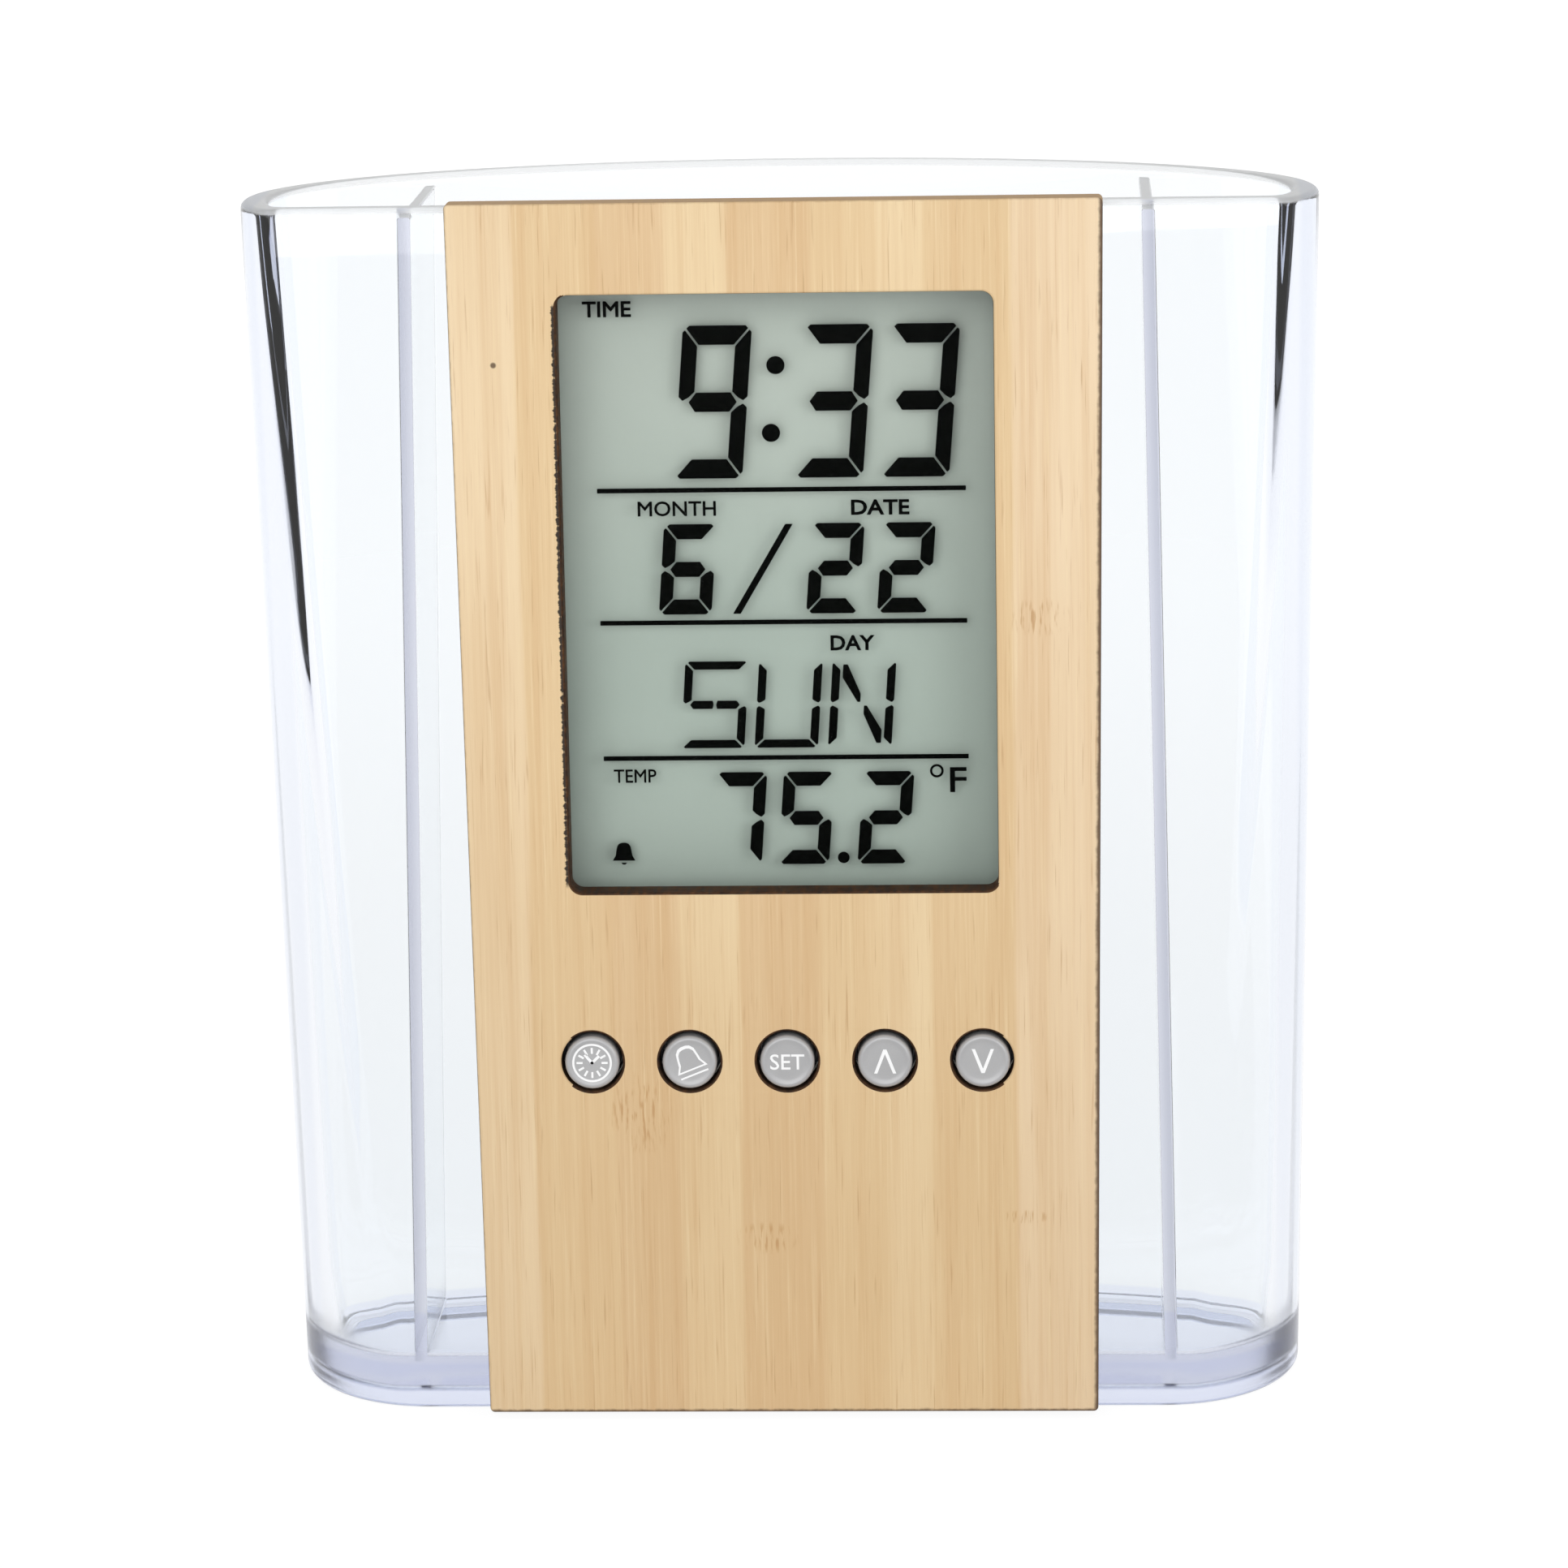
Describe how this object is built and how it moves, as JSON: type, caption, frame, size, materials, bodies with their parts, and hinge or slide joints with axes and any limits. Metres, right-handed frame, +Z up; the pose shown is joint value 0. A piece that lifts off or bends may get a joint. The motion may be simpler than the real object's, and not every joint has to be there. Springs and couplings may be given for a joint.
{
  "type": "digital clock pen holder",
  "caption": "Clear desk pen cup with a rounded back, upright dividers and a bamboo-faced digital clock with round push keys set into its flat front.",
  "frame": {"origin": "on the table, under the middle of the object's bounding box", "axes": "+Z up, -Y out of the clock face towards the reader, +X to the reader's right"},
  "size_m": [0.09, 0.035, 0.1046],
  "materials": {
    "clear_plastic": "clear moulded styrene",
    "bamboo": "pale bamboo, laser-cut dark edges",
    "adhesive": "double-sided bonding sheet",
    "black_plastic": "moulded black",
    "white_plastic": "moulded white",
    "silver_plastic": "silver-grey satin",
    "display_glass": "clear display glass",
    "display_film": "polarising film",
    "display_reflector": "grey-green reflector",
    "conductive_rubber": "layered contact rubber",
    "board": "green circuit board",
    "resin": "black resin",
    "steel": "plated steel",
    "brass": "brass sheet",
    "red_insulation": "red insulation",
    "black_insulation": "black insulation"
  },
  "bodies": {
    "holder": {"clear_cup": "clear_plastic", "bamboo_fascia": "bamboo", "fascia_adhesive": "adhesive", "clock_frame": "black_plastic", "rear_case": "white_plastic", "case_screw_1": "steel", "case_screw_2": "steel", "lcd_front_film": "display_film", "lcd_front_glass": "display_glass", "lcd_rear_glass": "display_glass", "lcd_reflector": "display_reflector", "contact_strip": "conductive_rubber", "circuit_board": "board", "board_screw_1": "steel", "board_screw_2": "steel", "board_screw_3": "steel", "board_screw_4": "steel", "chip_resin": "resin", "quartz_crystal": "steel", "temperature_sensor": "resin", "alarm_disc": "brass", "alarm_lead_1": "red_insulation", "alarm_lead_2": "black_insulation", "coin_cell": "steel", "battery_contact_floor": "brass", "battery_contact_side": "brass", "battery_lead_1": "black_insulation", "battery_lead_2": "red_insulation", "switch_mode": "black_plastic", "switch_alarm": "black_plastic", "switch_set": "black_plastic", "switch_up": "black_plastic", "switch_down": "black_plastic"},
    "key_mode_body": {"key_mode": "silver_plastic", "plunger_mode": "black_plastic"},
    "key_alarm_body": {"key_alarm": "silver_plastic", "plunger_alarm": "black_plastic"},
    "key_set_body": {"key_set": "silver_plastic", "plunger_set": "black_plastic"},
    "key_up_body": {"key_up": "silver_plastic", "plunger_up": "black_plastic"},
    "key_down_body": {"key_down": "silver_plastic", "plunger_down": "black_plastic"},
    "battery_cover_body": {"battery_cover": "white_plastic"}
  },
  "joints": [
    {"name": "key_mode_press", "type": "slide", "parent": "holder", "child": "key_mode_body", "axis": [0, 1, 0], "range_m": [0, 0.0008], "stiffness_N_per_m": 900, "springref_m": -0.0003},
    {"name": "key_alarm_press", "type": "slide", "parent": "holder", "child": "key_alarm_body", "axis": [0, 1, 0], "range_m": [0, 0.0008], "stiffness_N_per_m": 900, "springref_m": -0.0003},
    {"name": "key_set_press", "type": "slide", "parent": "holder", "child": "key_set_body", "axis": [0, 1, 0], "range_m": [0, 0.0008], "stiffness_N_per_m": 900, "springref_m": -0.0003},
    {"name": "key_up_press", "type": "slide", "parent": "holder", "child": "key_up_body", "axis": [0, 1, 0], "range_m": [0, 0.0008], "stiffness_N_per_m": 900, "springref_m": -0.0003},
    {"name": "key_down_press", "type": "slide", "parent": "holder", "child": "key_down_body", "axis": [0, 1, 0], "range_m": [0, 0.0008], "stiffness_N_per_m": 900, "springref_m": -0.0003},
    {"name": "battery_cover_slide", "type": "slide", "parent": "holder", "child": "battery_cover_body", "axis": [0, 0, 1], "range_m": [0, 0.026]}
  ]
}
